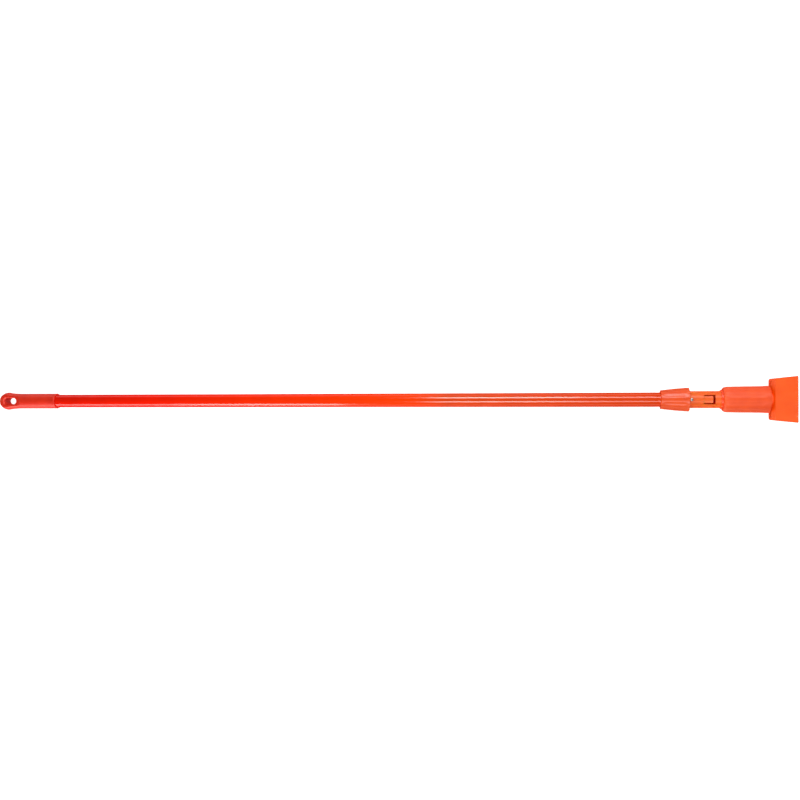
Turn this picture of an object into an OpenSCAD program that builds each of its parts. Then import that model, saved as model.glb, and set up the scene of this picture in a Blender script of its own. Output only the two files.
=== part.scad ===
// Jaw-clamp mop handle: two hinged jaws, spread by a spring and closed by a sliding lock
// sleeve, on a vinyl-coated tube that ends in a cap with a slot to hang it by.
// Frame: +X runs along the handle towards the jaws' mouth, the upper jaw is on the +Z
// side, and the handle lies on the plane z = 0 with its middle over the origin.

/* [Tube] */
// Overall length, from the end of the hang cap to the mouth of the jaws
total_l = 1524; // [900:1:1850]
// Outside diameter of the coated tube
tube_od = 25.4; // [21:0.1:31]
// Wall of the metal core tube
core_wall = 0.9; // [0.6:0.1:2]
// Thickness of the vinyl jacket
jacket_t = 0.5; // [0.3:0.1:1]
// Length of the plug that backs the rivets inside the tube
plug_l = 32; // [24:1:60]
// Radial clearance where the tube is pushed into the cap and the neck
push_gap = 0.05; // [0:0.01:0.1]

/* [Hang cap] */
// Length of the cap
cap_l = 129; // [90:1:180]
// Wall of the cap around the tube
cap_wall = 2.25; // [1.6:0.1:4]
// Extra radius of the lip at the cap's open end
cap_flare = 0.2; // [0:0.1:1]
// Diameter of the bulb at the cap's closed end
bulb_d = 35.2; // [33:0.1:46]
// Thickness of the bulb across its two flats
bulb_flat = 24; // [20:0.5:28]
// Length of the hanging slot
slot_l = 26.4; // [18:0.1:30]
// Width of the hanging slot
slot_w = 12.6; // [9:0.1:16]
// Plastic left between the cap's end and the hanging slot
slot_bridge = 14.2; // [8:0.1:20]
// Chamfer around the slot's two mouths
slot_chamfer = 2.5; // [1:0.1:3]
// Plastic left between the slot and the tube
cap_web = 8.2; // [4:0.1:15]

/* [Clamp nut] */
// Length of the clamp nut
nut_l = 47.5; // [38:0.1:60]
// Wall over the thread at the nut's small end
nut_wall_small = 1.45; // [1:0.1:3]
// Wall over the thread at the nut's big end
nut_wall_big = 5.75; // [3:0.05:8]
// Swell of the nut's cone at its middle
nut_swell = 0.4; // [0:0.1:1]
// Length of the lip that closes on the tube
nut_lip_l = 4.5; // [3:0.1:8]
// Depth of the recess in the nut's mouth that clears the rivet heads
nut_recess_l = 6; // [5:0.5:12]
// Number of finger grooves on the nut
nut_grips = 8; // [6:1:12]
// Depth of a finger groove on the nut
nut_grip_depth = 0.5; // [0.2:0.1:1]
// Length of the collet ring that the nut squeezes
collet_l = 9; // [6:0.5:14]
// Width of the slit in the collet ring
collet_slit = 2; // [1:0.1:4]
// Radial and axial clearance between the nut, the collet ring and what they go over
nut_gap = 0.3; // [0.2:0.05:0.5]

/* [Neck] */
// Wall of the neck around the tube
neck_wall = 2.1; // [1.8:0.05:4]
// Length of neck that shows between the nut and the lock sleeve
neck_show = 55.7; // [44:0.1:90]
// Depth that the tube goes into the neck
seat_l = 50; // [40:1:70]
// Distance from the nut's mouth to the rivets
rivet_x = 3; // [2.8:0.1:5]
// Diameter of a rivet's shank
rivet_d = 4; // [3:0.1:5]
// Diameter of a rivet's head
rivet_head_d = 7.5; // [6:0.1:9]
// Height of a rivet's head
rivet_head_h = 1.1; // [0.6:0.1:1.6]
// Wall of the neck around the hollow that the latch tongue bends into
hollow_wall = 4; // [3:0.1:5]

/* [Latch tongue] */
// Length of the tongue from its root to its tip
tongue_l = 15; // [10:0.1:18]
// Width of the tongue
tongue_w = 11.7; // [8:0.1:13]
// Thickness of the tongue
tongue_t = 2.6; // [2:0.1:3.4]
// Width of the slots beside the tongue
tongue_slot = 2.15; // [1:0.05:3]
// Length of the slot ahead of the tongue's tip
tongue_tip_slot = 4; // [2:0.1:6]
// Gap at the tongue's root
tongue_root_gap = 0.3; // [0.2:0.05:0.5]
// Distance from the tongue's tip to the lock sleeve at rest
tongue_to_sleeve = 17.5; // [15:0.1:24]
// Height of the ramp at the tongue's tip over the neck
ramp_h = 1.2; // [0.5:0.1:1.4]
// Length of the ramp
ramp_l = 6; // [4:0.5:8]

/* [Fork and jaws] */
// Inside width of the neck's fork
fork_gap = 21; // [18:0.5:24]
// Thickness of each ear of the fork
ear_t = 3.5; // [2.5:0.1:4.5]
// Distance from the fork's root to the hinge pins
ear_back = 10; // [9:0.5:14]
// Distance from the hinge pins to the ends of the ears
ear_front = 8; // [6:0.5:10]
// Diameter of the hinge pins
pin_d = 4; // [3:0.1:5]
// Radial clearance of the hinge pins in the jaws
pin_gap = 0.06; // [0.02:0.01:0.1]
// Radius of the jaws' hinge knuckles
knuckle_r = 6.5; // [5.5:0.1:7]
// Gap between the two jaws' knuckles
knuckle_gap = 1; // [0.6:0.1:2]
// Gap between a jaw's knuckle and each ear
side_gap = 0.3; // [0.2:0.05:0.5]
// Angle that each jaw opens to
open_deg = 14; // [8:0.5:15]
// Length of the jaws' plates
jaw_l = 40.7; // [36:0.1:60]
// Width of the jaws at their shoulders
jaw_w_back = 70.8; // [60:0.5:90]
// Width of the jaws at the mouth
jaw_w_mouth = 79.2; // [70:0.5:110]
// Distance between the two gripping faces when the jaws are closed
jaw_gap = 8; // [7:0.5:12]
// Skin and wall thickness of the moulded jaws
jaw_wall = 3; // [2:0.1:4]
// Length of the bevelled shoulder
shoulder_l = 4.1; // [2:0.1:8]
// Drop of the bevelled shoulder
shoulder_drop = 8.4; // [3:0.1:9]
// Cut at the shoulder's two corners, seen from above
shoulder_cut = 1.6; // [0.5:0.1:3]
// Edge chamfer at the jaws' mouth
mouth_chamfer = 1.2; // [0.5:0.1:2]
// Rows of pockets in each jaw
pocket_rows = 3; // [2:1:4]
// Columns of pockets in each jaw
pocket_cols = 6; // [4:1:8]
// Height of the gripping ridges
ridge_h = 1.5; // [0.5:0.1:1.6]

/* [Lock sleeve] */
// Length of the lock sleeve
sleeve_l = 75.2; // [66:0.1:100]
// Wall of the sleeve at its back end
sleeve_wall = 4; // [2.8:0.05:5]
// Extra radius of the sleeve at its nose, from the mould's draft
sleeve_draft = 0.55; // [0.2:0.05:1]
// Step from the neck's radius to the sleeve's cavity
cavity_step = 4; // [3.6:0.1:6]
// Thickness of the sleeve's back wall, which holds the guide bush
back_wall = 10; // [8:0.5:14]
// Number of finger grooves on the sleeve
flutes = 10; // [6:1:12]
// Depth of a finger groove on the sleeve
flute_depth = 0.5; // [0.3:0.1:1.2]
// Travel of the sleeve from closed jaws to open jaws
travel = 28; // [20:1:30]
// Clearance between the sleeve's cavity and the jaws' shanks
cam_gap = 0.35; // [0.3:0.05:0.6]
// Gap between the sleeve's nose and the jaws' plates
nose_gap = 2.1; // [1:0.1:3]
// Radial wall of the guide bush
bush_wall = 1.7; // [1.5:0.05:3]
// Length of guide bush that stands out of the sleeve
bush_out = 3.6; // [1.5:0.1:4]
// Radial running clearance of the guide bush on the neck
bush_gap = 0.08; // [0.04:0.01:0.1]

/* [Spring] */
// Outside diameter of the spring between the jaws
spring_d = 8; // [6:0.5:9]
// Wire diameter of the spring
spring_wire = 1; // [0.8:0.1:1.4]
// Number of turns of the spring
spring_turns = 5; // [4:1:7]
// Depth of the pocket for the spring in each jaw
spring_pocket = 4; // [3:0.5:5]
// Distance from the hinge pins to the spring
spring_x = 20; // [18:0.5:24]

/* [Hidden] */
$fn = 64;
eps = 0.01;
over = 1;

// Radii
tube_r = tube_od / 2;
core_r = tube_r - jacket_t;
bore_r = core_r - core_wall;
cap_r = tube_r + push_gap + cap_wall;
bulb_r = bulb_d / 2;
neck_r = tube_r + push_gap + neck_wall;
hollow_r = neck_r - hollow_wall;
nut_bore_r = neck_r + nut_gap;
nut_lip_r = tube_r + nut_gap;
nut_small_r = nut_bore_r + nut_wall_small;
nut_big_r = nut_bore_r + nut_wall_big;
nut_recess_r = neck_r + rivet_head_h + 1;
bush_r = neck_r + bush_gap;
bush_out_r = bush_r + bush_wall;
cavity_r = neck_r + cavity_step;
sleeve_r = cavity_r + sleeve_wall;
nose_out_r = sleeve_r + sleeve_draft;
back_edge_r = sleeve_r - 3.4;
flute_r = 9;
nut_grip_r = 9;
axis_z = nose_out_r;

// Places along the handle, counted from the end of the cap
x_slot = slot_bridge + slot_l / 2;
x_cap_floor = slot_bridge + slot_l + cap_web;
x_jaw = total_l - jaw_l;
x_nose = x_jaw - nose_gap;
x_sleeve = x_nose - sleeve_l;
x_cavity = x_sleeve + back_wall;
x_fork = x_cavity + 1;
x_pivot = x_fork + ear_back;
x_nut_mouth = x_sleeve - neck_show;
x_nut = x_nut_mouth - nut_l;
x_collet = x_nut + nut_lip_l + nut_gap;
x_neck = x_collet + collet_l + nut_gap;
x_tube_end = x_neck + seat_l;
x_rivet = x_nut_mouth + rivet_x;
x_tip = x_sleeve - tongue_to_sleeve;
x_root = x_tip - tongue_l;
x_window_end = x_tip + tongue_tip_slot;
x_spring = x_pivot + spring_x;
x_wide_shank = x_pivot + ear_front + 4;
x_pockets = x_jaw + shoulder_l + 1;
row_l = (total_l - x_pockets) / pocket_rows;

// Jaws
pivot_z = knuckle_r + knuckle_gap / 2;
knuckle_w = fork_gap - 2 * side_gap;
ear_y = fork_gap / 2 + ear_t;
ear_z = min(12, sqrt(pow(cavity_r - 0.5, 2) - ear_y * ear_y));
grip_z = jaw_gap / 2;
shank_z = 1.5;
face_z = cavity_r - 0.5;
waist_r = face_z - 4;
spring_z = shank_z + spring_pocket;

// Outer radius of a jaw's shank at x, such that the jaw just clears the sleeve's nose when
// the sleeve has been drawn back to x and the jaw has turned with it. The shank's back also
// swings backwards as it rises, so it falls away faster than the sleeve is drawn back.
swing_lead = 1.15;
function turned_deg(x) = min(open_deg, open_deg * swing_lead * (x_nose - x) / travel);
function shank_r(x) = cavity_r - cam_gap - (x - x_pivot) * sin(turned_deg(x));

// Half the bulb's profile and the hollow curve that joins it to the cap's barrel
bulb_end_deg = 70;
x_bulb_end = bulb_r + bulb_r * cos(bulb_end_deg);
bulb_end_r = bulb_r * sin(bulb_end_deg);
blend_l = 26;
cap_outline = concat(
    [for (a = [180 : -10 : bulb_end_deg]) [bulb_r + bulb_r * cos(a), bulb_r * sin(a)]],
    [for (i = [1 : 8]) let (t = i / 8)
        [x_bulb_end + blend_l * t, bulb_end_r + (cap_r - bulb_end_r) * sin(90 * t)]],
    [[cap_l - 6, cap_r], [cap_l - 1, cap_r + cap_flare], [cap_l, cap_r + cap_flare - 0.6],
     [cap_l, 0]]);

// Puts a piece that is drawn along the handle's own axis into the part's frame
module in_frame() translate([-total_l / 2, 0, axis_z]) children();

// A solid turned about the handle's axis, from points [place along the handle, radius]
module turned(points)
    rotate([0, 90, 0]) rotate_extrude() polygon([for (p = points) [p[1], p[0]]]);

// A round bar along the handle's axis
module bar(x0, x1, r)
    translate([x0, 0, 0]) rotate([0, 90, 0]) cylinder(r = r, h = x1 - x0);

// A round bar across the handle, along Y
module cross_bar(x, z, r, y)
    translate([x, 0, z]) rotate([90, 0, 0]) cylinder(r = r, h = 2 * y, center = true);

// The rivets' holes, through whatever they fasten
module rivet_holes()
    translate([x_rivet, 0, 0]) cylinder(d = rivet_d, h = 4 * neck_r, center = true);

// A ring of long round cutters, laid along a wall that runs from radius r0 to radius r1
module groove_cutters(count, x0, x1, r0, r1, cut_r, depth, first_deg) {
    slope = atan2(r1 - r0, x1 - x0);
    length = (x1 - x0) / cos(slope);
    for (i = [0 : count - 1])
        rotate([first_deg + i * 360 / count, 0, 0])
            translate([x0, 0, r0 - depth])
                rotate([0, -slope, 0])
                    translate([0, 0, cut_r])
                        turned([[0, 0], [0, cut_r - depth - 0.2], [length * 0.12, cut_r],
                            [length * 0.88, cut_r], [length, cut_r - depth - 0.2], [length, 0]]);
}

module core_tube() color("silver") in_frame()
    difference() {
        bar(x_cap_floor, x_tube_end, core_r);
        bar(x_cap_floor - over, x_tube_end + over, bore_r);
        rivet_holes();
    }

module vinyl_jacket() color("orangered") in_frame()
    difference() {
        bar(x_cap_floor, x_tube_end, tube_r);
        bar(x_cap_floor - over, x_tube_end + over, core_r);
        rivet_holes();
    }

module tube_plug() color("burlywood") in_frame()
    difference() {
        bar(x_tube_end - plug_l, x_tube_end - 1, bore_r);
        rivet_holes();
    }

// The slot that the handle hangs by, with both its mouths chamfered
module hang_slot() {
    half = (slot_l - slot_w) / 2;
    mouth = slot_w / 2 + slot_chamfer + over;
    flare_z = bulb_flat / 2 - slot_chamfer;
    translate([x_slot, 0, 0]) {
        cube([2 * half, slot_w, 2 * bulb_r], center = true);
        for (s = [-1, 1]) translate([s * half, 0, 0]) {
            cylinder(d = slot_w, h = 2 * bulb_r, center = true);
            for (m = [0, 1]) mirror([0, 0, m]) translate([0, 0, flare_z])
                cylinder(r1 = slot_w / 2, r2 = mouth, h = slot_chamfer + over);
        }
        for (m = [0, 1]) mirror([0, 0, m]) translate([-half, 0, flare_z])
            rotate([90, 0, 90]) linear_extrude(2 * half)
                polygon([[-slot_w / 2, 0], [slot_w / 2, 0], [mouth, slot_chamfer + over],
                    [-mouth, slot_chamfer + over]]);
    }
}

module hang_cap() color("red") in_frame()
    difference() {
        turned(cap_outline);
        bar(x_cap_floor, cap_l + over, tube_r + push_gap);
        // Flats on both sides of the bulb, running out along the barrel
        for (m = [0, 1]) mirror([0, 0, m]) rotate([90, 0, 0])
            linear_extrude(3 * bulb_r, center = true)
                polygon([[-over, bulb_flat / 2], [x_cap_floor - 10, bulb_flat / 2],
                    [x_cap_floor + 6, cap_r + 1], [x_cap_floor + 6, 2 * bulb_r], [-over, 2 * bulb_r]]);
        hang_slot();
    }

module clamp_nut() color("coral") in_frame()
    difference() {
        turned([[x_nut, 0], [x_nut, nut_small_r - 0.8], [x_nut + 0.8, nut_small_r],
            [x_nut + nut_l / 2, (nut_small_r + nut_big_r) / 2 + nut_swell],
            [x_nut_mouth - 0.5, nut_big_r], [x_nut_mouth, nut_big_r - 0.5], [x_nut_mouth, 0]]);
        bar(x_nut - over, x_nut_mouth + over, nut_lip_r);
        bar(x_nut + nut_lip_l, x_nut_mouth + over, nut_bore_r);
        bar(x_nut_mouth - nut_recess_l, x_nut_mouth + over, nut_recess_r);
        groove_cutters(nut_grips, x_nut + 4, x_nut_mouth - 3,
            nut_small_r + 4 * (nut_big_r - nut_small_r) / nut_l,
            nut_big_r - 3 * (nut_big_r - nut_small_r) / nut_l,
            nut_grip_r, nut_grip_depth, 180 / nut_grips);
    }

module collet_ring() color("dimgray") in_frame()
    difference() {
        bar(x_collet, x_collet + collet_l, neck_r);
        bar(x_collet - over, x_collet + collet_l + over, nut_lip_r);
        translate([x_collet - over, -collet_slit / 2, 0])
            cube([collet_l + 2 * over, collet_slit, 2 * neck_r]);
    }

// One ear of the fork, whose lower side in Y is at y0
module fork_ear(y0) {
    x_end = x_pivot + ear_front;
    cut = ear_front / 2;
    translate([0, y0 + ear_t, 0]) rotate([90, 0, 0]) linear_extrude(ear_t)
        polygon([[x_fork - over, -ear_z], [x_end - cut, -ear_z], [x_end, -ear_z + cut],
            [x_end, ear_z - cut], [x_end - cut, ear_z], [x_fork - over, ear_z]]);
}

module neck() color("orange") in_frame()
    difference() {
        union() {
            bar(x_neck, x_fork, neck_r);
            fork_ear(fork_gap / 2);
            fork_ear(-fork_gap / 2 - ear_t);
        }
        bar(x_neck - over, x_tube_end, tube_r + push_gap);
        bar(x_tube_end - over, x_sleeve + 2, hollow_r);
        rivet_holes();
        // The window that the latch tongue stands in
        translate([x_root, -tongue_w / 2 - tongue_slot, 0])
            cube([x_window_end - x_root, tongue_w + 2 * tongue_slot, 2 * neck_r]);
        for (s = [-1, 1]) cross_bar(x_pivot, s * pivot_z, pin_d / 2, 2 * ear_y);
    }

// A domed rivet on the top and one on the bottom of the neck
module neck_rivets() color("gainsboro") in_frame()
    for (m = [0, 1]) mirror([0, 0, m]) translate([x_rivet, 0, 0]) {
        difference() {
            union() {
                translate([0, 0, bore_r / 2]) cylinder(d = rivet_d, h = neck_r - bore_r / 2 + eps);
                translate([0, 0, neck_r - 1])
                    cylinder(d1 = rivet_head_d, d2 = rivet_head_d * 0.55, h = rivet_head_h + 1);
            }
            // The head's underside follows the neck
            difference() {
                rotate([0, 90, 0]) cylinder(r = neck_r, h = 2 * rivet_head_d, center = true);
                cylinder(d = rivet_d, h = 2 * neck_r);
            }
        }
    }

module latch_tongue() color("darkorange") in_frame()
    difference() {
        intersection() {
            union() {
                bar(x_root + tongue_root_gap, x_tip, neck_r);
                turned([[x_tip - ramp_l, 0], [x_tip - ramp_l, neck_r - eps],
                    [x_tip - 1, neck_r + ramp_h], [x_tip, neck_r + ramp_h], [x_tip, 0]]);
            }
            translate([x_root, -tongue_w / 2, 0]) cube([tongue_l, tongue_w, 2 * neck_r]);
        }
        bar(x_root - over, x_tip + over, neck_r - tongue_t);
    }

module lock_sleeve() color("tomato") in_frame()
    difference() {
        turned([[x_sleeve, 0], [x_sleeve, back_edge_r], [x_sleeve + 1.5, back_edge_r + 1.3],
            [x_sleeve + 4, sleeve_r - 1.1], [x_sleeve + 9, sleeve_r - 0.4],
            [x_sleeve + 20, sleeve_r], [x_nose - 0.6, nose_out_r], [x_nose, nose_out_r - 0.6],
            [x_nose, 0]]);
        bar(x_sleeve - over, x_sleeve + back_wall - 2, bush_out_r);
        bar(x_sleeve, x_cavity + over, bush_r + 0.4);
        bar(x_cavity, x_nose + over, cavity_r);
        groove_cutters(flutes, x_sleeve + 9, x_nose - 10,
            sleeve_r, nose_out_r - 0.05, flute_r, flute_depth, 180 / flutes);
    }

module guide_bush() color("peru") in_frame()
    difference() {
        bar(x_sleeve - bush_out, x_sleeve + back_wall - 2, bush_out_r);
        bar(x_sleeve - bush_out - over, x_cavity, bush_r);
    }

// Plan of a jaw's plate, wider towards the mouth
module jaw_plan() {
    cut = mouth_chamfer;
    back = jaw_w_back / 2;
    back_cut = back - shoulder_cut;
    front = jaw_w_mouth / 2;
    x_side = x_jaw + shoulder_l;
    side = back + (front - back) * shoulder_l / jaw_l;
    polygon([[x_jaw, -back_cut], [x_side, -side], [total_l - cut, -front], [total_l, -front + cut],
        [total_l, front - cut], [total_l - cut, front], [x_side, side], [x_jaw, back_cut]]);
}

// Side view of a jaw's plate: bevelled shoulder, flat face and chamfered mouth
module jaw_side()
    polygon([[x_jaw, grip_z], [x_jaw, face_z - shoulder_drop], [x_jaw + shoulder_l, face_z],
        [total_l - mouth_chamfer, face_z], [total_l, face_z - mouth_chamfer], [total_l, grip_z]]);

// The gripping side's pockets, in rows and columns between the moulded ribs
module jaw_pockets() {
    col_w = (jaw_w_back - jaw_wall) / pocket_cols;
    for (row = [0 : pocket_rows - 1], col = [0 : pocket_cols - 1])
        translate([x_pockets + row * row_l, -jaw_w_back / 2 + jaw_wall + col * col_w, -over])
            cube([row_l - jaw_wall, col_w - jaw_wall, face_z - jaw_wall + over]);
}

// Ridges across the gripping face, one over each rib between the pockets' rows
module jaw_ridges()
    for (row = [0 : pocket_rows])
        translate([x_pockets + row * row_l - jaw_wall / 2, 0, grip_z]) rotate([90, 0, 0])
            linear_extrude(jaw_w_back - 4, center = true)
                polygon([[-jaw_wall / 2, 0], [0, -ridge_h], [jaw_wall / 2, 0]]);

module jaw() {
    x_steps = [for (i = [0 : 12]) x_wide_shank + (x_nose - x_wide_shank) * i / 12];
    difference() {
        union() {
            // Plate
            intersection() {
                linear_extrude(2 * face_z) jaw_plan();
                rotate([90, 0, 0]) linear_extrude(2 * jaw_w_mouth, center = true) jaw_side();
            }
            // Shank, whose back the sleeve's nose presses on
            intersection() {
                turned(concat([[x_wide_shank, 0]], [for (x = x_steps) [x, shank_r(x)]],
                    [[x_nose + 0.5, cavity_r - cam_gap], [x_jaw, waist_r], [x_jaw + 3, waist_r],
                     [x_jaw + 3, 0]]));
                translate([x_wide_shank - over, -cavity_r, shank_z])
                    cube([jaw_l + sleeve_l, 2 * cavity_r, 2 * cavity_r]);
            }
            // Web between the ears, and the knuckle
            intersection() {
                translate([x_pivot, -knuckle_w / 2, shank_z])
                    cube([x_wide_shank - x_pivot + 2, knuckle_w, 2 * pivot_z - 2 * shank_z]);
                bar(x_pivot - over, x_wide_shank + 3, cavity_r - 4);
            }
            cross_bar(x_pivot, pivot_z, knuckle_r, knuckle_w / 2);
        }
        cross_bar(x_pivot, pivot_z, pin_d / 2 + pin_gap, knuckle_w);
        translate([x_spring, 0, 0]) cylinder(d = spring_d + 1.2, h = spring_z);
        jaw_pockets();
    }
    jaw_ridges();
}

module upper_jaw() color("darkorange") in_frame() jaw();

module lower_jaw() color("darkorange") in_frame() mirror([0, 0, 1]) jaw();

module upper_hinge_pin() color("silver") in_frame() cross_bar(x_pivot, pivot_z, pin_d / 2, ear_y);

module lower_hinge_pin() color("silver") in_frame() cross_bar(x_pivot, -pivot_z, pin_d / 2, ear_y);

// A round wire swept along a helix: one ring of points for each step
module coil(mean_r, wire_r, length, turns, steps_a_turn = 16, sides = 8) {
    steps = turns * steps_a_turn;
    rise = length - 2 * wire_r;
    points = [for (i = [0 : steps], j = [0 : sides - 1])
        let (a = 360 * turns * i / steps, b = 360 * j / sides,
            r = mean_r + wire_r * cos(b))
        [r * cos(a), r * sin(a), wire_r + rise * i / steps + wire_r * sin(b)]];
    walls = [for (i = [0 : steps - 1], j = [0 : sides - 1])
        let (k = (j + 1) % sides)
        [i * sides + j, (i + 1) * sides + j, (i + 1) * sides + k, i * sides + k]];
    ends = [[for (j = [0 : sides - 1]) j], [for (j = [sides - 1 : -1 : 0]) steps * sides + j]];
    polyhedron(points, concat(walls, ends));
}

module jaw_spring() color("silver") in_frame()
    translate([x_spring, 0, -spring_z])
        coil((spring_d - spring_wire) / 2, spring_wire / 2, 2 * spring_z, spring_turns);

core_tube();
vinyl_jacket();
tube_plug();
hang_cap();
clamp_nut();
collet_ring();
neck();
neck_rivets();
latch_tongue();
lock_sleeve();
guide_bush();
upper_jaw();
lower_jaw();
upper_hinge_pin();
lower_hinge_pin();
jaw_spring();
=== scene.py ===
# %% [markdown]
# # A jaw clamp mop handle
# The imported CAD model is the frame: it fixes every size and every joint. This script builds
# the skin that shows around it, one piece at a time, and gives each piece the finish of the
# plastic, metal or wood that it is made of.

# %% Load the frame
import math

import bmesh
import bpy
from mathutils import Matrix, Vector


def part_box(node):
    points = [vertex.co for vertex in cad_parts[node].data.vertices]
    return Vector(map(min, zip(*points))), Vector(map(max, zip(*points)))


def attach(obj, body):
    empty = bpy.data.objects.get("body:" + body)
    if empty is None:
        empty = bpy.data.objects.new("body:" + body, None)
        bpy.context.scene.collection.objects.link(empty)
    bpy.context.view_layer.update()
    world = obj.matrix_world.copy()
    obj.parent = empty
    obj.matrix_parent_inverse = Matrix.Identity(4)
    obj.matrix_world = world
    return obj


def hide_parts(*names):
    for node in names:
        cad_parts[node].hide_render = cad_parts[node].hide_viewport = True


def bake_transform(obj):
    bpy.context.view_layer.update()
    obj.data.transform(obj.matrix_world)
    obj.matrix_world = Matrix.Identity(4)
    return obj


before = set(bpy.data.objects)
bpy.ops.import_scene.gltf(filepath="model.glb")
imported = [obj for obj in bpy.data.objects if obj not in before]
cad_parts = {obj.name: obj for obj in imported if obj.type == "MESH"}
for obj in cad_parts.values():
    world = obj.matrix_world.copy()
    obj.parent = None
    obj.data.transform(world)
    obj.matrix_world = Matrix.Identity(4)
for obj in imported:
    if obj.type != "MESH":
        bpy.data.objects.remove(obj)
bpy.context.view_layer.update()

# %% [markdown]
# ## Places along the handle
# Everything on the handle is turned about one axis that runs along X. The lock sleeve is the
# widest round piece and rests on the floor, so the middle of its box gives the axis's height.
# Lengths in the cells below are in millimetres, counted from the frame's origin, because
# that is how a moulder would write them down; `mm()` makes them metres.

# %% Axis and the ends of each piece
def mm(value):
    return value / 1000


def ends(name):
    low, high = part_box(name)
    return low.x * 1000, high.x * 1000


def radius(name):
    low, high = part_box(name)
    return high.y * 1000


sleeve_low, sleeve_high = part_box("lock_sleeve")
axis_z = (sleeve_low.z + sleeve_high.z) / 2 * 1000
tube_r, neck_r, bush_r = radius("vinyl_jacket"), radius("neck"), radius("guide_bush")
print(f"axis {axis_z:.2f} mm up, tube radius {tube_r:.2f}, neck {neck_r:.2f}")

# %% [markdown]
# ## The camera
# The handle is 1.5 m long and is seen from above, from a point level with its head quarter.
# A 36 mm lens on a 36 mm sensor stands 1.47 m above the axis and leans 10.9 degrees back
# towards the cap, so the cap end looks thinner than the head. Turning the camera about Y is
# all the aim it needs; a hair of roll lets the handle climb slightly to the right.

# %% Make the camera
lean, roll = math.radians(10.9), math.radians(-0.136)
along_x, aside_y, above_axis = 0.3578, 0.0005, 1.4663
camera_data = bpy.data.cameras.new("studio_camera")
camera_data.lens = 36
camera_data.sensor_width = 36
camera_data.clip_end = 50
camera = bpy.data.objects.new("studio_camera", camera_data)
bpy.context.scene.collection.objects.link(camera)
place = Matrix.Translation((along_x, aside_y, mm(axis_z) + above_axis))
camera.matrix_world = place @ Matrix.Rotation(lean, 4, "Y") @ Matrix.Rotation(roll, 4, "Z")
bpy.context.scene.camera = camera
print("camera at", [round(v, 3) for v in place.translation])

# %% [markdown]
# ## Two helpers for materials
# Hex colours are written as a screen shows them, so one function turns them into the linear
# numbers that shaders use. A second one adds a node with its settings and its links; a value
# that is itself a socket is linked, and anything else is typed in. It works on the world's
# nodes as well as on a material's.

# %% Colour and node helpers
def linear(hex_colour):
    parts = [int(hex_colour[i:i + 2], 16) / 255 for i in (1, 3, 5)]
    parts = [c / 12.92 if c <= 0.04045 else ((c + 0.055) / 1.055) ** 2.4 for c in parts]
    return (*parts, 1)


def new_material(name):
    material = bpy.data.materials.new(name)
    material.use_nodes = True
    material.node_tree.nodes.clear()
    return material


def add(owner, kind, inputs=None, **settings):
    tree = owner.node_tree
    made = tree.nodes.new(kind)
    for key, value in settings.items():
        setattr(made, key, value)
    for key, value in (inputs or {}).items():
        if isinstance(value, bpy.types.NodeSocket):
            tree.links.new(value, made.inputs[key])
        else:
            made.inputs[key].default_value = value
    return made

# %% [markdown]
# ## The studio
# The handle lies on a white sweep that is lit so brightly that it loses its shadows. Soft
# boxes hang on both sides of its head half, in two lengths each, the one near the handle's
# middle being the brighter: they end where the streaks on the glossy tube end. Two reflectors
# stand low beside the cap half. The sky over the table stays dark, or its reflection would
# wash out the reds; only near the horizon does it turn white, as the walls of a studio do.
# The camera itself sees the whole sky white.

# %% Floor
studio = bpy.data.collections.new("studio")
bpy.context.scene.collection.children.link(studio)
bpy.context.scene.view_settings.view_transform = "Standard"

half_sweep_m = 30
bm = bmesh.new()
bmesh.ops.create_grid(bm, x_segments=1, y_segments=1, size=half_sweep_m)
floor_mesh = bpy.data.meshes.new("white_sweep")
bm.to_mesh(floor_mesh)
bm.free()
floor = bpy.data.objects.new("white_sweep", floor_mesh)
studio.objects.link(floor)
floor.visible_glossy = False

# %% Soft boxes and sky
def soft_box(name, along, across, degrees, distance, strength):
    """A panel parallel to the handle, from one place along X to another.

    Degrees lean it from straight up towards +Y. Lengths are in metres, and its strength is
    multiplied by its area, so a larger panel is no dimmer.
    """
    lamp = bpy.data.lights.new(name, "AREA")
    lamp.shape = "RECTANGLE"
    lamp.size, lamp.size_y = along[1] - along[0], across
    lamp.energy = strength * lamp.size * lamp.size_y * math.pi
    panel = bpy.data.objects.new(name, lamp)
    studio.objects.link(panel)
    tilt = Matrix.Rotation(math.radians(-degrees), 4, "X")
    middle = Vector(((along[0] + along[1]) / 2, 0, mm(axis_z)))
    panel.matrix_world = Matrix.Translation(middle) @ tilt @ Matrix.Translation((0, 0, distance))
    panel.visible_camera = False
    print(f"{name}: {lamp.size:.2f} by {across} m, {lamp.energy:.0f} W")


soft_box("far_box_middle", (-0.15, 0.45), 0.60, 40, 1.8, 13.0)
soft_box("far_box_head", (0.45, 1.6), 0.50, 40, 1.8, 7.2)
soft_box("near_box_middle", (-0.15, 0.45), 0.60, -28, 1.8, 9.0)
soft_box("near_box_head", (0.45, 1.6), 0.50, -28, 1.8, 4.8)
soft_box("low_reflector", (-1.1, -0.43), 0.80, -75, 1.5, 8.0)
soft_box("cap_end_reflector", (-2.0, -1.1), 0.70, -75, 1.5, 3.5)

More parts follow.
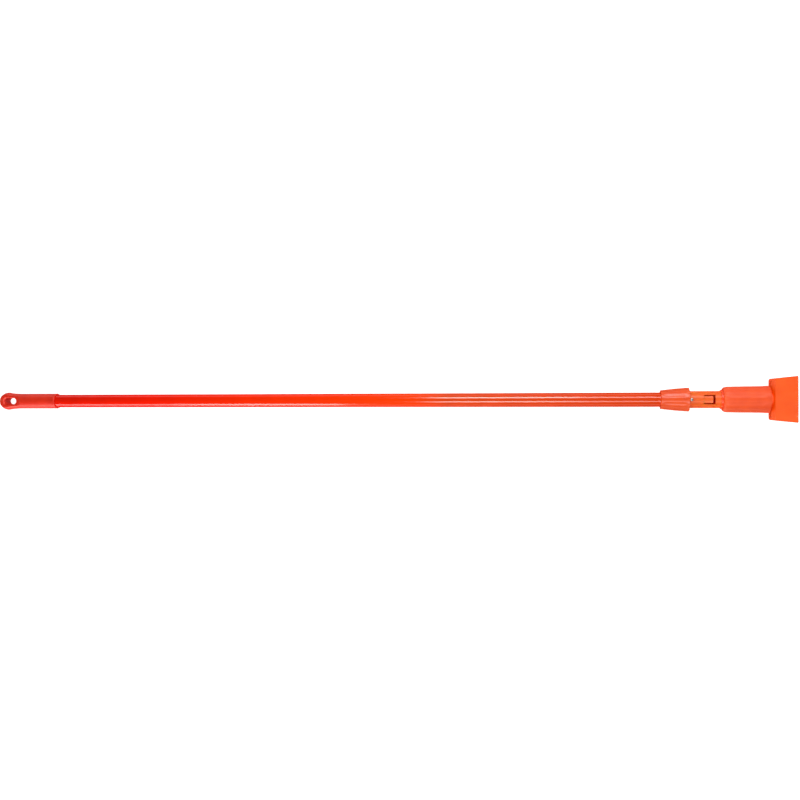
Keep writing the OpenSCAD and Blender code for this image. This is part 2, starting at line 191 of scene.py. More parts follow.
world = bpy.data.worlds.new("studio_air")
bpy.context.scene.world = world
world.use_nodes = True
world.node_tree.nodes.clear()
direction = add(world, "ShaderNodeTexCoord").outputs["Generated"]
up = add(world, "ShaderNodeSeparateXYZ", {0: direction}).outputs["Z"]
height = add(world, "ShaderNodeMath", {0: up}, operation="ABSOLUTE").outputs[0]
fade = add(world, "ShaderNodeMapRange", {"Value": height, "From Min": 0.05, "From Max": 0.25,
                                         "To Min": 1.0, "To Max": 0.05}).outputs["Result"]
seen = add(world, "ShaderNodeLightPath").outputs["Is Camera Ray"]
glow = add(world, "ShaderNodeMath", {0: fade, 1: seen}, operation="MAXIMUM").outputs[0]
backdrop = add(world, "ShaderNodeBackground", {"Color": (1, 1, 1, 1), "Strength": glow})
add(world, "ShaderNodeOutputWorld", {"Surface": backdrop.outputs[0]})

# %% [markdown]
# ## Moulded plastic
# Six finishes here are injection-moulded plastic. A mould gives plastic cloudy differences in
# colour, where the melt flowed, and a fine satin grain, which the spark-eroded mould leaves.
# Use adds small scuffs, which go pale where the handle knocks against things. One function
# lays these down, because they are the same process with other colours and grain. The real
# grain is about 0.1 mm, finer than any render shows, so it is drawn at 0.6 mm.
# Wear sits where the caller says: a stretch of the handle, in millimetres along X. A thin
# wall can also let light through, red light the furthest. A recess can be given painted
# shade: a darker colour, laid in where ambient occlusion finds a hollow, for the shadow inside it.

# %% Moulded plastic
GRAIN_MM, GRAIN_DEPTH_MM = 0.6, 0.05
CLOUD_MM = 22
SCUFF_MM = 5
PAINTED_SHADE_REACH_MM = 14
THROUGH_MM = 6


def moulded(name, colour, deep, pale, roughness, ior=1.49, worn=(), grain=0.10, through=0.0,
            painted_shade=None):
    m = new_material(name)
    at = add(m, "ShaderNodeTexCoord").outputs["Object"]
    cloud = add(m, "ShaderNodeTexNoise", {"Vector": at, "Scale": 1 / mm(CLOUD_MM), "Detail": 3.0})
    flow = add(m, "ShaderNodeMapRange", {"Value": cloud.outputs["Fac"], "From Min": 0.35,
                                         "From Max": 0.65, "To Min": 0.0, "To Max": 1.0})
    body = add(m, "ShaderNodeMix", {"Factor": flow.outputs["Result"], "A": linear(deep),
                                    "B": linear(colour)}, data_type="RGBA")
    body_colour = body.outputs["Result"]
    stretch = add(m, "ShaderNodeMapping", {"Vector": at, "Scale": (0.25, 1.0, 1.0)})
    scuff = add(m, "ShaderNodeTexNoise", {"Vector": stretch.outputs[0], "Scale": 1 / mm(SCUFF_MM),
                                          "Detail": 6.0, "Roughness": 0.65})
    rubbed = add(m, "ShaderNodeMapRange", {"Value": scuff.outputs["Fac"], "From Min": 0.52,
                                           "From Max": 0.75, "To Min": 0.0, "To Max": 0.6})
    wear = rubbed.outputs["Result"]
    if worn:
        along = add(m, "ShaderNodeSeparateXYZ", {0: at}).outputs["X"]
        near = add(m, "ShaderNodeMapRange",
                   {"Value": along, "From Min": mm(worn[0]), "From Max": mm(worn[1])},
                   interpolation_type="SMOOTHSTEP")
        wear = add(m, "ShaderNodeMath", {0: wear, 1: near.outputs["Result"]},
                   operation="MULTIPLY").outputs[0]
        body_colour = add(m, "ShaderNodeMix", {"Factor": wear, "A": body_colour,
                                               "B": linear(pale)},
                          data_type="RGBA").outputs["Result"]
    # Painted shade: ambient occlusion turns the colour darker inside hollows, standing in for
    # their shadow.
    if painted_shade:
        sky = add(m, "ShaderNodeAmbientOcclusion", {"Distance": mm(PAINTED_SHADE_REACH_MM)}).outputs["AO"]
        open_air = add(m, "ShaderNodeMapRange", {"Value": sky, "From Min": 0.35, "From Max": 0.8})
        body_colour = add(m, "ShaderNodeMix", {"Factor": open_air.outputs["Result"],
                                               "A": linear(painted_shade), "B": body_colour},
                          data_type="RGBA").outputs["Result"]
    shine = add(m, "ShaderNodeMapRange", {"Value": scuff.outputs["Fac"], "From Min": 0.3,
                                          "From Max": 0.8, "To Min": roughness - 0.05,
                                          "To Max": roughness + 0.12})
    fine = add(m, "ShaderNodeTexNoise", {"Vector": at, "Scale": 1 / mm(GRAIN_MM), "Detail": 2.0})
    bump = add(m, "ShaderNodeBump", {"Height": fine.outputs["Fac"], "Strength": grain,
                                     "Distance": mm(GRAIN_DEPTH_MM)})
    shader = add(m, "ShaderNodeBsdfPrincipled", {"Base Color": body_colour, "IOR": ior,
                                                 "Roughness": shine.outputs["Result"],
                                                 "Subsurface Weight": through,
                                                 "Subsurface Radius": (1.0, 0.4, 0.1),
                                                 "Subsurface Scale": mm(THROUGH_MM),
                                                 "Normal": bump.outputs[0]})
    add(m, "ShaderNodeOutputMaterial", {"Surface": shader.outputs[0]})
    return m

# %% [markdown]
# The cap is polyethylene, a soft waxy plastic (IOR 1.51) with a satin skin, pulled over the
# tube as a grip, so it is rubbed at its round end. The nut and the sleeve are polypropylene
# (IOR 1.49) in a coral orange; hands turn and pull them. The neck and jaws are the same
# plastic in a purer orange. The bush and the collet are acetal (IOR 1.48), a slippery,
# slightly glossier plastic, because they rub on their neighbours all the time.

# %% The six plastics
cap_end, cap_mouth = ends("hang_cap")
nut_back, nut_mouth = ends("clamp_nut")
sleeve_back, sleeve_nose = ends("lock_sleeve")
jaw_mouth = ends("upper_jaw")[1]
# The cap's slot gets painted shade, a dark red inside the hollow.
red_polyethylene = moulded("red_polyethylene", "#F23214", "#E4280F", "#F0694D", 0.45, ior=1.51,
                           worn=(cap_end + 45, cap_end + 5), painted_shade="#A00C04")
coral_polypropylene = moulded("coral_polypropylene", "#E8500E", "#DE460A", "#FA8A68", 0.33,
                              worn=(nut_mouth - 8, nut_mouth))
matt_polypropylene = moulded("matt_coral_polypropylene", "#EE4E06", "#E64604", "#F8805C", 0.52,
                             worn=(sleeve_back + 20, sleeve_back), grain=0.2)
orange_polypropylene = moulded("orange_polypropylene", "#F85802", "#F15000", "#FF8A52", 0.45,
                               worn=(jaw_mouth - 8, jaw_mouth))
neck_polypropylene = moulded("neck_polypropylene", "#F36407", "#EC5A04", "#FF9C5C", 0.42,
                             through=0.5)
orange_acetal = moulded("orange_acetal", "#F04A16", "#E84312", "#F78455", 0.26, ior=1.48,
                        grain=0.05)
print("made the moulded plastics")

# %% [markdown]
# ## Glossy vinyl
# The tube's jacket is plasticised vinyl, drawn over the metal like a sock, so its skin is
# glassy (IOR 1.53, roughness about 0.13) with faint draw lines along the handle and the small
# ripples of a thin skin over metal. Its colour ramp along the handle is painted light: a deep
# red near the cap turning to orange towards the head, as the light on the tube changes, with a
# pale, washed orange on the head half as a painted reflection haze. The draw lines are noise
# stretched 60 times along X; real ones are a few tenths of a millimetre apart, and are drawn
# at 1.5 mm.

# %% Vinyl
DRAW_LINE_MM, DRAW_LINE_STRETCH = 1.5, 60
VINYL_CLOUD_MM = 30
vinyl = new_material("glossy_drawn_vinyl")
at = add(vinyl, "ShaderNodeTexCoord").outputs["Object"]
along = add(vinyl, "ShaderNodeSeparateXYZ", {0: at}).outputs["X"]
place = add(vinyl, "ShaderNodeMapRange", {"Value": along, "From Min": mm(cap_mouth),
                                          "From Max": mm(nut_back), "To Min": 0.0, "To Max": 1.0})
# Painted light: this ramp along X darkens the tube to deep red near the cap and pales it with
# painted reflection haze on the head half.
painted_light_ramp = add(vinyl, "ShaderNodeValToRGB", {"Fac": place.outputs["Result"]})
painted_light_ramp.color_ramp.elements[0].color = linear("#EF1800")
painted_light_ramp.color_ramp.elements[1].color = linear("#DA400E")
for share, shade in ((0.18, "#FF1D00"), (0.46, "#FC3300"), (0.62, "#FC3F00"), (0.68, "#DE4412")):
    painted_light_ramp.color_ramp.elements.new(share).color = linear(shade)
drawn = add(vinyl, "ShaderNodeMapping", {"Vector": at, "Scale": (1 / DRAW_LINE_STRETCH, 1, 1)})
lines = add(vinyl, "ShaderNodeTexNoise", {"Vector": drawn.outputs[0], "Detail": 3.0,
                                          "Scale": 1 / mm(DRAW_LINE_MM)})
cloudy = add(vinyl, "ShaderNodeTexNoise", {"Vector": at, "Scale": 1 / mm(VINYL_CLOUD_MM),
                                           "Detail": 2.0})
deeper = add(vinyl, "ShaderNodeMapRange", {"Value": cloudy.outputs["Fac"], "From Min": 0.3,
                                           "From Max": 0.7, "To Min": 0.93, "To Max": 1.0})
skin = add(vinyl, "ShaderNodeMix", {"Factor": 1.0, "A": painted_light_ramp.outputs["Color"],
                                    "B": deeper.outputs["Result"]},
           data_type="RGBA", blend_type="MULTIPLY")
gloss = add(vinyl, "ShaderNodeMapRange", {"Value": lines.outputs["Fac"], "From Min": 0.3,
                                          "From Max": 0.7, "To Min": 0.09, "To Max": 0.17})
ripple = add(vinyl, "ShaderNodeBump", {"Height": lines.outputs["Fac"], "Strength": 0.06,
                                       "Distance": mm(0.05)})
shader = add(vinyl, "ShaderNodeBsdfPrincipled", {"Base Color": skin.outputs["Result"],
                                                 "Roughness": gloss.outputs["Result"],
                                                 "IOR": 1.53, "Normal": ripple.outputs[0]})
add(vinyl, "ShaderNodeOutputMaterial", {"Surface": shader.outputs[0]})
print("made", vinyl.name)

# %% [markdown]
# ## Metal and wood
# The rivets and hinge pins are steel with a thin coat of zinc that has dulled: a warm grey
# with a slightly mottled shine. The core tube is drawn aluminium, with fine lines along the
# way it was drawn. The spring is bare wire, darker and with finer marks. All are metals, so
# their colour sits in the reflection and the IOR stays as it is.

# %% Metals
def metal(name, colour, dark, low, high, size_mm, stretch):
    m = new_material(name)
    at = add(m, "ShaderNodeTexCoord").outputs["Object"]
    pulled = add(m, "ShaderNodeMapping", {"Vector": at, "Scale": stretch})
    marks = add(m, "ShaderNodeTexNoise", {"Vector": pulled.outputs[0], "Scale": 1 / mm(size_mm),
                                          "Detail": 4.0})
    tint = add(m, "ShaderNodeMix", {"Factor": marks.outputs["Fac"], "A": linear(dark),
                                    "B": linear(colour)}, data_type="RGBA")
    rough = add(m, "ShaderNodeMapRange", {"Value": marks.outputs["Fac"], "From Min": 0.3,
                                          "From Max": 0.7, "To Min": low, "To Max": high})
    bump = add(m, "ShaderNodeBump", {"Height": marks.outputs["Fac"], "Strength": 0.08,
                                     "Distance": mm(0.03)})
    shader = add(m, "ShaderNodeBsdfPrincipled", {"Base Color": tint.outputs["Result"],
                                                 "Roughness": rough.outputs["Result"],
                                                 "Metallic": 1.0, "Normal": bump.outputs[0]})
    add(m, "ShaderNodeOutputMaterial", {"Surface": shader.outputs[0]})
    return m


zinc_plated_steel = metal("zinc_plated_steel", "#BDB9B6", "#98928E", 0.38, 0.52, 1.2, (1, 1, 1))
drawn_aluminium = metal("drawn_aluminium", "#D9DBDD", "#C2C5C8", 0.25, 0.40, 0.8, (1 / 40, 1, 1))
spring_wire = metal("drawn_spring_wire", "#A8A9AB", "#86888B", 0.28, 0.42, 0.5, (1, 1, 1 / 3))

# %% [markdown]
# The plug inside the tube is a softwood dowel. Softwood has pale early wood and darker late
# wood in rings, which a lathe cuts into long streaks along the dowel, so a wave texture in
# rings about X, bent a little by noise, makes it. The wave texture repeats every 0.314 of
# its unit, so a unit of 16 mm sets the rings 5 mm apart, as in fast-grown pine. The tree's
# heart lies beside the dowel's middle.

# %% Wood
RING_UNIT_MM, HEART_OFF_MM = 16, 9
softwood = new_material("turned_softwood")
at = add(softwood, "ShaderNodeTexCoord").outputs["Object"]
off_centre = add(softwood, "ShaderNodeMapping",
                 {"Vector": at, "Location": (0, mm(HEART_OFF_MM), mm(-axis_z)),
                  "Scale": (0.08, 1, 1)})
rings = add(softwood, "ShaderNodeTexWave", {"Vector": off_centre.outputs[0], "Detail": 2.0,
                                            "Scale": 1 / mm(RING_UNIT_MM), "Distortion": 1.5},
            wave_type="RINGS", rings_direction="X")
grain_colour = add(softwood, "ShaderNodeMix", {"Factor": rings.outputs["Fac"],
                                               "A": linear("#D9B383"), "B": linear("#B98553")},
                   data_type="RGBA")
shader = add(softwood, "ShaderNodeBsdfPrincipled", {"Base Color": grain_colour.outputs["Result"],
                                                    "Roughness": 0.65, "IOR": 1.5})
add(softwood, "ShaderNodeOutputMaterial", {"Surface": shader.outputs[0]})
print("made the metals and", softwood.name)

# %% [markdown]
# The sweep under the handle is matt white paint. It also glows by itself, as if lit from
# behind, which is what takes the shadows away.

# %% White sweep
sweep = new_material("white_painted_sweep")
paint = add(sweep, "ShaderNodeBsdfDiffuse", {"Color": linear("#F0F0F0")})
glow = add(sweep, "ShaderNodeEmission", {"Color": (1, 1, 1, 1), "Strength": 0.75})
both = add(sweep, "ShaderNodeAddShader", {0: paint.outputs[0], 1: glow.outputs[0]})
add(sweep, "ShaderNodeOutputMaterial", {"Surface": both.outputs[0]})
floor.data.materials.append(sweep)
print("made", sweep.name)

# %% [markdown]
# ## Turning pieces
# Most of the handle is round, so most pieces are turned as on a lathe: an outline of a few
# points, each a place along X and a radius, is spun about the axis. Straight stretches get
# extra points so that grooves can be pressed into them later. `seat()` turns a bmesh into an
# object with a material, a body to ride on and the CAD node that it stands for, and rounds
# its sharp edges with a Bevel modifier, because no moulded edge is knife sharp.

# %% Lathe and seat helpers
def dense(outline, step):
    """The outline with extra points, no further apart than step."""
    points = [outline[0]]
    for a, b in zip(outline, outline[1:]):
        count = max(1, math.ceil(math.dist(a, b) / step))
        points += [tuple(p + (q - p) * i / count for p, q in zip(a, b))
                   for i in range(1, count + 1)]
    return points


def lathe(outline, steps=96, loop=True):
    """A bmesh turned about the handle's axis. A loop joins the last point to the first."""
    bm = bmesh.new()
    points = [bm.verts.new((mm(x), 0, mm(axis_z + r))) for x, r in outline]
    pairs = list(zip(points, points[1:])) + ([(points[-1], points[0])] if loop else [])
    edges = [bm.edges.new(pair) for pair in pairs]
    bmesh.ops.spin(bm, geom=points + edges, cent=(0, 0, mm(axis_z)), axis=(1, 0, 0),
                   angle=math.tau, steps=steps, use_merge=True)
    bmesh.ops.remove_doubles(bm, verts=bm.verts, dist=mm(0.004))
    bmesh.ops.recalc_face_normals(bm, faces=bm.faces)
    return bm


def seat(name, bm, material, body, node=None, round_mm=0.3, sharp=32):
    mesh = bpy.data.meshes.new(name)
    bm.to_mesh(mesh)
    bm.free()
    mesh.shade_smooth()
    piece = bpy.data.objects.new(name, mesh)
    bpy.context.scene.collection.objects.link(piece)
    mesh.materials.append(material)
    if round_mm:
        edge = piece.modifiers.new("rounded_edges", "BEVEL")
        edge.width, edge.segments, edge.profile = mm(round_mm), 3, 0.5
        edge.limit_method, edge.angle_limit = "ANGLE", math.radians(sharp)
        normals = piece.modifiers.new("even_shading", "WEIGHTED_NORMAL")
        normals.weight = 80
    if body:
        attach(piece, body)
    if node:
        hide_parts(node)
    print(f"{name}: {len(mesh.polygons)} faces")
    return piece

# %% [markdown]
# ## The vinyl jacket
# A tube 1.3 m long: four corners of its wall, spun. 128 steps keep the long reflections
# straight and clean.

# %% Jacket
jacket_start, jacket_end = ends("vinyl_jacket")
core_r = radius("core_tube")
jacket = lathe([(jacket_start, core_r), (jacket_start, tube_r),
                (jacket_end, tube_r), (jacket_end, core_r)], steps=128)
seat("glossy_jacket", jacket, vinyl, "stick", "vinyl_jacket", round_mm=0.15)

# %% [markdown]
# ## The hang cap
# A soft moulded cap with a round bulb, flattened on top and underneath, and a long slot
# through it for a hook. Its shapes flow into each other with no hard edge, which a lathe and
# sharp cutters can't give. So the cap is turned, the flats and the slot are cut with Boolean
# modifiers, and then a voxel Remesh at 0.6 mm and some smoothing melt every edge, as the
# mould does. The slot's cutter flares at both mouths: a box whose top and bottom are wider.

# %% Helpers for cutters
def block(low, high):
    bm = bmesh.new()
    bmesh.ops.create_cube(bm, size=1)
    size = [mm(b - a) for a, b in zip(low, high)]
    middle = [mm((a + b) / 2) for a, b in zip(low, high)]
    bmesh.ops.scale(bm, vec=size, verts=bm.verts)
    bmesh.ops.translate(bm, vec=middle, verts=bm.verts)
    return bm


def plain_object(name, bm):
    mesh = bpy.data.meshes.new(name)
    bm.to_mesh(mesh)
    bm.free()
    made = bpy.data.objects.new(name, mesh)
    bpy.context.scene.collection.objects.link(made)
    return made


def apply_modifiers(piece):
    """Takes the mesh that the modifiers give and throws the modifiers away."""
    graph = bpy.context.evaluated_depsgraph_get()
    mesh = bpy.data.meshes.new_from_object(piece.evaluated_get(graph))
    piece.modifiers.clear()
    piece.data = mesh


def cut(piece, cutters):
    for cutter in cutters:
        knife = piece.modifiers.new("cut", "BOOLEAN")
        knife.operation, knife.object, knife.solver = "DIFFERENCE", cutter, "EXACT"
    apply_modifiers(piece)
    for cutter in cutters:
        bpy.data.objects.remove(cutter)


def as_bmesh(piece):
    bm = bmesh.new()
    bm.from_mesh(piece.data)
    bpy.data.objects.remove(piece)
    return bm

# %% Turn the cap
bulb_r = radius("hang_cap")
cap_wall, push_gap, half_flat = 2.25, 0.05, 12.0
cap_bore_r = tube_r + push_gap
cap_r = cap_bore_r + cap_wall
floor_x = jacket_start
leave_r = bulb_r * math.sin(math.radians(70))
leave_x = cap_end + bulb_r + bulb_r * math.cos(math.radians(70))
blend_l, blend_steps = 26, 8
bulb = [(cap_end + bulb_r - bulb_r * math.cos(math.radians(a)), bulb_r * math.sin(math.radians(a)))
        for a in range(0, 106, 7)]
blend = [(leave_x + blend_l * t / blend_steps,
          leave_r - (leave_r - cap_r) * math.sin(math.pi / 2 * t / blend_steps))
         for t in range(1, blend_steps + 1)]
barrel = [(cap_mouth - 6, cap_r), (cap_mouth - 1.2, cap_r + 0.2), (cap_mouth - 0.3, cap_r - 0.1),
          (cap_mouth, cap_r - 0.7), (cap_mouth, cap_bore_r), (floor_x, cap_bore_r), (floor_x, 0)]
cap = plain_object("cap_blank", lathe(bulb + blend + barrel, steps=96, loop=False))
print("cap blank:", len(cap.data.polygons), "faces")

# %% The slot's block
slot_bridge, slot_l, slot_w = 14.2, 26.4, 12.6
slot_start = cap_end + slot_bridge
slot_end = slot_start + slot_l


def slot_block(low, high):
    """A block as long and wide as the slot, its upright edges rounded into round ends."""
    bm = block((slot_start, -slot_w / 2, low), (slot_end, slot_w / 2, high))
    uprights = [e for e in bm.edges if abs(e.verts[0].co.z - e.verts[1].co.z) > mm(1)]
    bmesh.ops.bevel(bm, geom=uprights, offset=mm(slot_w / 2 - 0.05), segments=12, profile=0.5,
                    affect="EDGES", material=-1)
    return bm

# %% Cut the flats and the slot
clear_of_cap, flat_run_out = 40, 60
flare_h, flare_sunk, flare_reach = 3.6, 2.4, 3.4
cutters = []
for side in (1, -1):
    low, high = sorted((axis_z + side * half_flat, axis_z + side * clear_of_cap))
    cutter = block((cap_end - 5, -clear_of_cap, low), (floor_x - 2, clear_of_cap, high))
    outer_front = [v for v in cutter.verts if v.co.x > mm(floor_x - 3)
                   and abs(v.co.z - mm(axis_z)) > mm(20)]
    bmesh.ops.translate(cutter, vec=(mm(flat_run_out), 0, 0), verts=outer_front)
    cutters.append(plain_object("flat_cutter", cutter))

cutters.append(plain_object("slot_cutter", slot_block(axis_z - 30, axis_z + 30)))
for side in (1, -1):
    flare = slot_block(0, flare_h)
    for v in flare.verts:
        if v.co.z > mm(1):
            off = v.co.x - mm((slot_start + slot_end) / 2)
            off = math.copysign(min(abs(off), mm(slot_w / 2)), off)
            outward = Vector((off, v.co.y, 0))
            v.co += outward.normalized() * mm(flare_reach)
    bmesh.ops.translate(flare, vec=(0, 0, mm(half_flat - flare_sunk)), verts=flare.verts)
    if side < 0:
        bmesh.ops.scale(flare, vec=(1, 1, -1), verts=flare.verts)
        bmesh.ops.recalc_face_normals(flare, faces=flare.faces)
    bmesh.ops.translate(flare, vec=(0, 0, mm(axis_z)), verts=flare.verts)
    cutters.append(plain_object("flare_cutter", flare))
cut(cap, cutters)
print("cap cut:", len(cap.data.polygons), "faces")

# %% Melt the cap's edges
VOXEL_MM = 0.6
voxels = cap.modifiers.new("melt", "REMESH")
voxels.mode, voxels.voxel_size = "VOXEL", mm(VOXEL_MM)
calm = cap.modifiers.new("calm", "SMOOTH")
calm.factor, calm.iterations = 0.5, 4
apply_modifiers(cap)
seat("hang_cap_skin", as_bmesh(cap), red_polyethylene, "stick", "hang_cap", round_mm=0)

# %% [markdown]
# ## Pressed grooves
# The clamp nut and the lock sleeve have shallow finger grooves that fade out at both ends.
# Cutting them with round knives leaves a sharp rim, while the real ones roll over softly. So
# each groove is pressed in: points of the outside wall move towards the axis by a cosine
# that is deepest on the groove's middle line, faded in and out along the handle. They are
# 0.65 mm deep, a little deeper than in the CAD model, because a groove with a soft rim
# looks shallower than it is.

# %% Groove helper
GROOVE_DEPTH_MM, GROOVE_FADE_MM = 0.65, 7


def press_grooves(bm, count, first_degrees, half_width, start, end, inside_r):
    for v in bm.verts:
        y, z = v.co.y, v.co.z - mm(axis_z)
        r = math.hypot(y, z)
        if r < mm(inside_r) or not mm(start) < v.co.x < mm(end):
            continue
        pitch = math.tau / count
        turn = (math.atan2(y, z) - math.radians(first_degrees)) % pitch
        off = min(turn, pitch - turn) * r
        if off > mm(half_width):
            continue
        fade = min(v.co.x - mm(start), mm(end) - v.co.x) / mm(GROOVE_FADE_MM)
        fade = min(1.0, fade) ** 2 * (3 - 2 * min(1.0, fade))
        sink = mm(GROOVE_DEPTH_MM) * fade * (1 + math.cos(math.pi * off / mm(half_width))) / 2
        v.co.y, v.co.z = y * (r - sink) / r, mm(axis_z) + z * (r - sink) / r
    bmesh.ops.recalc_face_normals(bm, faces=bm.faces)

# %% [markdown]
# ## The clamp nut
# A cone that swells a little, screws down on a collet and has eight grooves. Its outline
# runs along the outside and comes back along the bore: a wider recess at the mouth that
# clears the rivets, the threaded stretch, and a lip that closes on the tube.

# %% Nut
nut_big_r = radius("clamp_nut")
nut_small_r = neck_r + 1.75
nut_swell, turning_gap, rivet_gap = 0.4, 0.3, 2.1
recess_l, lip_l = 6, 4.5
thread_r, recess_r, lip_r = neck_r + turning_gap, neck_r + rivet_gap, tube_r + turning_gap
nut_middle = ((nut_back + nut_mouth) / 2, (nut_small_r + nut_big_r) / 2 + nut_swell)
outside = [(nut_back, nut_small_r - 0.8), (nut_back + 0.3, nut_small_r - 0.25),
           (nut_back + 0.9, nut_small_r), nut_middle, (nut_mouth - 0.5, nut_big_r),
           (nut_mouth - 0.1, nut_big_r - 0.2), (nut_mouth, nut_big_r - 0.6)]
inside = [(nut_mouth, recess_r), (nut_mouth - recess_l, recess_r),
          (nut_mouth - recess_l, thread_r), (nut_back + lip_l, thread_r),
          (nut_back + lip_l, lip_r), (nut_back, lip_r)]
nut = lathe(dense(outside, 2.0) + inside, steps=160)
press_grooves(nut, count=8, first_degrees=22.5, half_width=4.6, start=nut_back + 2.5,
              end=nut_mouth - 2, inside_r=neck_r + 0.8)
seat("clamp_nut_skin", nut, coral_polypropylene, "nut", "clamp_nut",
     round_mm=0.2, sharp=50)

# %% [markdown]
# ## The lock sleeve and its bush
# The sleeve is the widest round piece: rounded off at the back, ten grooves, a flat nose.
# It is a little narrower behind than at the nose, because a mould needs a draft to let go.
# The bush that it slides on sticks out behind it, a thin ring with a softly rounded end.

# %% Sleeve
nose_r = radius("lock_sleeve")
draft, cavity_gap, slide_gap = 0.55, 4, 0.5
back_r, cavity_r, slide_r = nose_r - draft, neck_r + cavity_gap, neck_r + slide_gap
seat_end, back_wall_end = sleeve_back + 8, sleeve_back + 10
# How far the outline drops, at each distance from the back end
rounding = ((0, 3.4), (0.6, 2.7), (1.5, 2.1), (2.7, 1.5), (4, 1.1), (6, 0.75), (9, 0.4),
            (14, 0.12), (20, 0))
outside = [(sleeve_back + x, back_r - drop) for x, drop in rounding]
outside += [(sleeve_nose - 0.6, nose_r), (sleeve_nose - 0.15, nose_r - 0.2),
            (sleeve_nose, nose_r - 0.6)]
inside = [(sleeve_nose, cavity_r), (back_wall_end, cavity_r), (back_wall_end, slide_r),
          (seat_end, slide_r), (seat_end, bush_r), (sleeve_back, bush_r)]
sleeve = lathe(dense(outside, 2.5) + inside, steps=180)
press_grooves(sleeve, count=10, first_degrees=18, half_width=4.8, start=sleeve_back + 6,
              end=sleeve_nose - 7, inside_r=cavity_r + 1)
seat("lock_sleeve_skin", sleeve, matt_polypropylene, "sleeve", "lock_sleeve",
     round_mm=0.2, sharp=50)

# %% Bush
bush_back, bush_front = ends("guide_bush")
bush_bore_r = neck_r + 0.08
ring = [(bush_back, bush_r - 0.5), (bush_back + 0.15, bush_r - 0.15), (bush_back + 0.5, bush_r),
        (bush_front, bush_r), (bush_front, bush_bore_r), (bush_back + 0.4, bush_bore_r),
        (bush_back, neck_r + 0.45)]
seat("guide_bush_skin", lathe(ring), orange_acetal, "sleeve", "guide_bush",
     round_mm=0)

# %% [markdown]
# ## The neck, the tongue and the jaws
# These are moulded shapes with flats, windows, pockets and ridges, and the CAD model already
# has each of them exactly. What a mould adds is a radius on every edge. So a copy of the CAD
# mesh is merged, its flat triangles are dissolved into whole faces, and a Bevel modifier
# rounds the edges: 0.25 mm on the thin tongue, 0.35 mm on the neck and 0.6 mm on the jaws.

# %% Rounded copies of CAD shapes
def rounded_copy(name, node, material, body, round_mm):
    bm = bmesh.new()
    bm.from_mesh(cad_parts[node].data)
    bmesh.ops.remove_doubles(bm, verts=bm.verts, dist=mm(0.003))
    bmesh.ops.dissolve_limit(bm, angle_limit=math.radians(0.5), verts=bm.verts, edges=bm.edges,
                             delimit={"NORMAL"})
    bmesh.ops.recalc_face_normals(bm, faces=bm.faces)
    return seat(name, bm, material, body, node, round_mm)


rounded_copy("neck_skin", "neck", neck_polypropylene, "stick", 0.35)
rounded_copy("latch_tongue_skin", "latch_tongue", neck_polypropylene, "tongue",
             0.25)
rounded_copy("upper_jaw_skin", "upper_jaw", orange_polypropylene, "jaw_top", 0.6)
rounded_copy("lower_jaw_skin", "lower_jaw", orange_polypropylene, "jaw_bottom",
             0.6)

# %% [markdown]
# ## Rivets
# Two domed rivets hold the neck to the tube, one above and one below. Each is a low dome with
# a small rim, spun about its own upright line. The second is the first turned half round the
# handle's axis.

# %% Rivets
rivet_low, rivet_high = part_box("neck_rivets")
rivet_x = (rivet_low.x + rivet_high.x) / 2
crown, head_r = (rivet_high.z - mm(axis_z)) * 1000, (rivet_high.x - rivet_low.x) * 500
shank_r, shank_end, head_seat = 2.0, 6.0, crown - 1.75
dome = [(0, crown), (head_r * 0.3, crown - 0.06), (head_r * 0.55, crown - 0.24),
        (head_r * 0.78, crown - 0.58), (head_r * 0.93, crown - 0.95), (head_r, crown - 1.3),
        (head_r, head_seat), (shank_r, head_seat), (shank_r, shank_end), (0, shank_end)]
rivets = bmesh.new()
line = [rivets.verts.new((rivet_x + mm(r), 0, mm(axis_z + z))) for r, z in dome]
edges = [rivets.edges.new(pair) for pair in zip(line, line[1:])]
bmesh.ops.spin(rivets, geom=line + edges, cent=(rivet_x, 0, 0), axis=(0, 0, 1), angle=math.tau,
               steps=48, use_merge=True)
bmesh.ops.remove_doubles(rivets, verts=rivets.verts, dist=mm(0.003))
twin = bmesh.ops.duplicate(rivets, geom=rivets.verts[:] + rivets.edges[:] + rivets.faces[:])
bmesh.ops.rotate(rivets, cent=(rivet_x, 0, mm(axis_z)), matrix=Matrix.Rotation(math.pi, 3, "X"),
                 verts=[v for v in twin["geom"] if isinstance(v, bmesh.types.BMVert)])
bmesh.ops.recalc_face_normals(rivets, faces=rivets.faces)
seat("domed_rivets", rivets, zinc_plated_steel, "stick", "neck_rivets", round_mm=0.1)
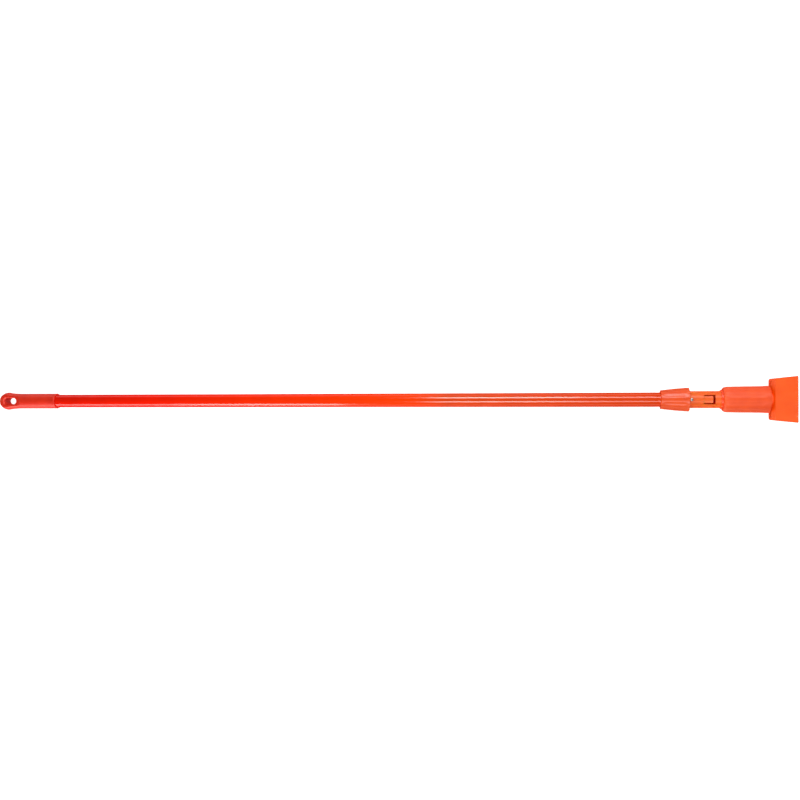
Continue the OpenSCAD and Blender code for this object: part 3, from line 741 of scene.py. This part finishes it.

# %% [markdown]
# ## The jaw spring
# A coil of 1 mm wire stands between the jaws and lengthens as they open. A wire ring spun
# with a rise makes the coil. It is made in two halves that meet at its middle: the upper half
# rises from there and the lower half falls.

# %% Spring
spring_low, spring_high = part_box("jaw_spring")
spring_x, wire_r = (spring_low.x + spring_high.x) / 2, mm(0.5)
coil_r = (spring_high.x - spring_low.x) / 2 - wire_r
turns, steps_per_turn = 2.5, 32
steps = int(turns * steps_per_turn)
half = (spring_high.z - spring_low.z) / 2 - wire_r
quarter_turn = Matrix.Rotation(math.pi / 2, 3, "X")
for name, body, side in (("upper_spring_half", "jaw_top", 1),
                         ("lower_spring_half", "jaw_bottom", -1)):
    coil = bmesh.new()
    bmesh.ops.create_circle(coil, segments=12, radius=wire_r, cap_ends=True)
    bmesh.ops.rotate(coil, verts=coil.verts, cent=(0, 0, 0), matrix=quarter_turn)
    bmesh.ops.translate(coil, verts=coil.verts, vec=(spring_x + coil_r, 0, mm(axis_z)))
    bmesh.ops.spin(coil, geom=coil.verts[:] + coil.edges[:] + coil.faces[:],
                   cent=(spring_x, 0, mm(axis_z)), axis=(0, 0, side), angle=math.tau * turns,
                   dvec=(0, 0, side * half / steps), steps=steps)
    bmesh.ops.remove_doubles(coil, verts=coil.verts, dist=mm(0.003))
    bmesh.ops.recalc_face_normals(coil, faces=coil.faces)
    piece = seat(name, coil, spring_wire, None, "jaw_spring", round_mm=0)
    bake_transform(piece)

# %% [markdown]
# ## The pieces that stay as they are
# The core tube, plug, collet and hinge pins are plain turned parts, mostly hidden, whose CAD
# shape is already the real one. They only need their metal, wood or plastic. The CAD pieces
# under a skin get that skin's finish too, so that none is left without one.

# %% Materials for the CAD pieces
stays = {"core_tube": drawn_aluminium, "tube_plug": softwood, "collet_ring": orange_acetal,
         "upper_hinge_pin": zinc_plated_steel, "lower_hinge_pin": zinc_plated_steel}
finish_of = {"vinyl_jacket": vinyl, "hang_cap": red_polyethylene, "clamp_nut": coral_polypropylene,
             "neck": neck_polypropylene, "neck_rivets": zinc_plated_steel,
             "latch_tongue": neck_polypropylene, "lock_sleeve": matt_polypropylene,
             "guide_bush": orange_acetal, "upper_jaw": orange_polypropylene,
             "lower_jaw": orange_polypropylene, "jaw_spring": spring_wire, **stays}
for name, material in finish_of.items():
    cad_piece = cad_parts[name]
    cad_piece.data.materials.clear()
    cad_piece.data.materials.append(material)
print("dressed", len(finish_of), "CAD pieces,", len(stays), "of them to stay")
